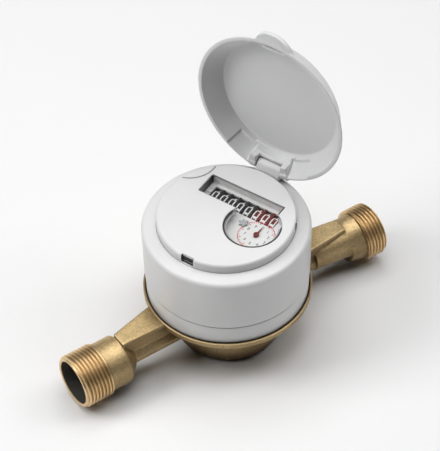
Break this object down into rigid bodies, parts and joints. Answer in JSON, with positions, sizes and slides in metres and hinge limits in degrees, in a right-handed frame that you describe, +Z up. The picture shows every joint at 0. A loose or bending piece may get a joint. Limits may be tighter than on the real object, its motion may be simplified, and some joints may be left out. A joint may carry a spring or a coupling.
{
  "type": "water meter",
  "caption": "Single-jet water meter: cast body with threaded pipe ends, swivelling dry register with number drums and pointer, and a hinged dial lid standing open.",
  "frame": {"origin": "centre of the flat foot under the bowl", "axes": "+X along the pipe from inlet to outlet, +Z up along the register axis, +Y to the left of the flow"},
  "size_m": [0.172, 0.0897, 0.1555],
  "materials": {
    "cast_brass": "cast and dull, machined ends",
    "white_plastic": "satin moulded",
    "lid_plastic": "satin moulded",
    "dial_white": "matt printed",
    "grey_plastic": "matt moulded",
    "wheel_plastic": "matt moulded",
    "black_plastic": "matt moulded",
    "red_plastic": "matt moulded",
    "clear": "clear polished",
    "steel": "ground",
    "rubber": "moulded",
    "magnet": "plastic-bonded ferrite"
  },
  "bodies": {
    "body": {"meter_body": "cast_brass", "inlet_strainer": "grey_plastic", "lower_pivot": "steel", "pressure_plate": "grey_plastic", "seal_ring": "rubber", "lock_ring": "cast_brass", "collar_ring": "white_plastic"},
    "impeller": {"impeller": "grey_plastic", "impeller_spindle": "steel", "drive_magnet": "magnet"},
    "head": {"head_shell": "white_plastic", "dial_cover": "white_plastic", "window_lens": "clear", "register_base": "white_plastic", "register_frame": "grey_plastic", "dial_face": "dial_white", "drum_shaft": "steel", "pinion_shaft": "steel"},
    "lid": {"lid": "lid_plastic", "hinge_pin": "steel"},
    "follower": {"follower_magnet": "magnet", "follower_spindle": "wheel_plastic"},
    "transfer": {"transfer_wheel": "wheel_plastic", "leak_star": "grey_plastic"},
    "pointer": {"pointer_wheel": "wheel_plastic", "pointer": "red_plastic"},
    "drum_drive": {"drum_drive": "wheel_plastic"},
    "drum_1": {"number_drum_1": "black_plastic"},
    "drum_2": {"number_drum_2": "black_plastic"},
    "drum_3": {"number_drum_3": "black_plastic"},
    "drum_4": {"number_drum_4": "black_plastic"},
    "drum_5": {"number_drum_5": "black_plastic"},
    "drum_6": {"number_drum_6": "red_plastic"},
    "drum_7": {"number_drum_7": "red_plastic"},
    "drum_8": {"number_drum_8": "red_plastic"},
    "carry_1": {"carry_pinion_1": "wheel_plastic"},
    "carry_2": {"carry_pinion_2": "wheel_plastic"},
    "carry_3": {"carry_pinion_3": "wheel_plastic"},
    "carry_4": {"carry_pinion_4": "wheel_plastic"},
    "carry_5": {"carry_pinion_5": "wheel_plastic"},
    "carry_6": {"carry_pinion_6": "wheel_plastic"},
    "carry_7": {"carry_pinion_7": "wheel_plastic"}
  },
  "joints": [
    {"name": "impeller_spin", "type": "hinge", "parent": "body", "child": "impeller", "pos_m": [0, 0, 0.02], "axis": [0, 0, 1], "continuous": true},
    {"name": "head_swivel", "type": "hinge", "parent": "body", "child": "head", "pos_m": [0, 0, 0.04], "axis": [0, 0, 1], "range_deg": [-177, 177]},
    {"name": "lid_hinge", "type": "hinge", "parent": "head", "child": "lid", "pos_m": [0.03514, 0.0142, 0.0739], "axis": [0.3746, -0.9272, 0], "range_deg": [0, 93.3]},
    {"name": "follower_spin", "type": "hinge", "parent": "head", "child": "follower", "pos_m": [0, 0, 0.046], "axis": [0, 0, 1], "continuous": true},
    {"name": "transfer_spin", "type": "hinge", "parent": "head", "child": "transfer", "pos_m": [0.00585, -0.00545, 0.048], "axis": [0, 0, 1], "continuous": true},
    {"name": "pointer_spin", "type": "hinge", "parent": "head", "child": "pointer", "pos_m": [0.00631, -0.01494, 0.05], "axis": [0, 0, 1], "continuous": true},
    {"name": "drum_drive_spin", "type": "hinge", "parent": "head", "child": "drum_drive", "pos_m": [0.01978, -0.01586, 0.05], "axis": [0, 0, 1], "continuous": true},
    {"name": "drum_1_spin", "type": "hinge", "parent": "head", "child": "drum_1", "pos_m": [0.00618, 0.01781, 0.063], "axis": [0.3746, -0.9272, 0], "continuous": true},
    {"name": "drum_2_spin", "type": "hinge", "parent": "head", "child": "drum_2", "pos_m": [0.0079, 0.01355, 0.063], "axis": [0.3746, -0.9272, 0], "continuous": true},
    {"name": "drum_3_spin", "type": "hinge", "parent": "head", "child": "drum_3", "pos_m": [0.00962, 0.00928, 0.063], "axis": [0.3746, -0.9272, 0], "continuous": true},
    {"name": "drum_4_spin", "type": "hinge", "parent": "head", "child": "drum_4", "pos_m": [0.01135, 0.00502, 0.063], "axis": [0.3746, -0.9272, 0], "continuous": true},
    {"name": "drum_5_spin", "type": "hinge", "parent": "head", "child": "drum_5", "pos_m": [0.01307, 0.00075, 0.063], "axis": [0.3746, -0.9272, 0], "continuous": true},
    {"name": "drum_6_spin", "type": "hinge", "parent": "head", "child": "drum_6", "pos_m": [0.01479, -0.00351, 0.063], "axis": [0.3746, -0.9272, 0], "continuous": true},
    {"name": "drum_7_spin", "type": "hinge", "parent": "head", "child": "drum_7", "pos_m": [0.01652, -0.00778, 0.063], "axis": [0.3746, -0.9272, 0], "continuous": true},
    {"name": "drum_8_spin", "type": "hinge", "parent": "head", "child": "drum_8", "pos_m": [0.01824, -0.01204, 0.063], "axis": [0.3746, -0.9272, 0], "continuous": true},
    {"name": "carry_1_spin", "type": "hinge", "parent": "head", "child": "carry_1", "pos_m": [0.01297, 0.01818, 0.0576], "axis": [0.3746, -0.9272, 0], "continuous": true},
    {"name": "carry_2_spin", "type": "hinge", "parent": "head", "child": "carry_2", "pos_m": [0.01469, 0.01392, 0.0576], "axis": [0.3746, -0.9272, 0], "continuous": true},
    {"name": "carry_3_spin", "type": "hinge", "parent": "head", "child": "carry_3", "pos_m": [0.01641, 0.00965, 0.0576], "axis": [0.3746, -0.9272, 0], "continuous": true},
    {"name": "carry_4_spin", "type": "hinge", "parent": "head", "child": "carry_4", "pos_m": [0.01814, 0.00539, 0.0576], "axis": [0.3746, -0.9272, 0], "continuous": true},
    {"name": "carry_5_spin", "type": "hinge", "parent": "head", "child": "carry_5", "pos_m": [0.01986, 0.00112, 0.0576], "axis": [0.3746, -0.9272, 0], "continuous": true},
    {"name": "carry_6_spin", "type": "hinge", "parent": "head", "child": "carry_6", "pos_m": [0.02158, -0.00314, 0.0576], "axis": [0.3746, -0.9272, 0], "continuous": true},
    {"name": "carry_7_spin", "type": "hinge", "parent": "head", "child": "carry_7", "pos_m": [0.02331, -0.00741, 0.0576], "axis": [0.3746, -0.9272, 0], "continuous": true}
  ],
  "couplings": [
    {"joint": "follower_spin", "follows": "impeller_spin", "ratio": 1},
    {"joint": "transfer_spin", "follows": "impeller_spin", "ratio": -0.33333},
    {"joint": "pointer_spin", "follows": "impeller_spin", "ratio": 0.088889},
    {"joint": "drum_drive_spin", "follows": "impeller_spin", "ratio": -0.11111},
    {"joint": "drum_1_spin", "follows": "impeller_spin", "ratio": 0.0000000037037},
    {"joint": "drum_2_spin", "follows": "impeller_spin", "ratio": 0.000000037037},
    {"joint": "drum_3_spin", "follows": "impeller_spin", "ratio": 0.00000037037},
    {"joint": "drum_4_spin", "follows": "impeller_spin", "ratio": 0.0000037037},
    {"joint": "drum_5_spin", "follows": "impeller_spin", "ratio": 0.000037037},
    {"joint": "drum_6_spin", "follows": "impeller_spin", "ratio": 0.00037037},
    {"joint": "drum_7_spin", "follows": "impeller_spin", "ratio": 0.0037037},
    {"joint": "drum_8_spin", "follows": "impeller_spin", "ratio": 0.037037},
    {"joint": "carry_1_spin", "follows": "impeller_spin", "ratio": -0.0000000092593},
    {"joint": "carry_2_spin", "follows": "impeller_spin", "ratio": -0.000000092593},
    {"joint": "carry_3_spin", "follows": "impeller_spin", "ratio": -0.00000092593},
    {"joint": "carry_4_spin", "follows": "impeller_spin", "ratio": -0.0000092593},
    {"joint": "carry_5_spin", "follows": "impeller_spin", "ratio": -0.000092593},
    {"joint": "carry_6_spin", "follows": "impeller_spin", "ratio": -0.00092593},
    {"joint": "carry_7_spin", "follows": "impeller_spin", "ratio": -0.0092593}
  ]
}
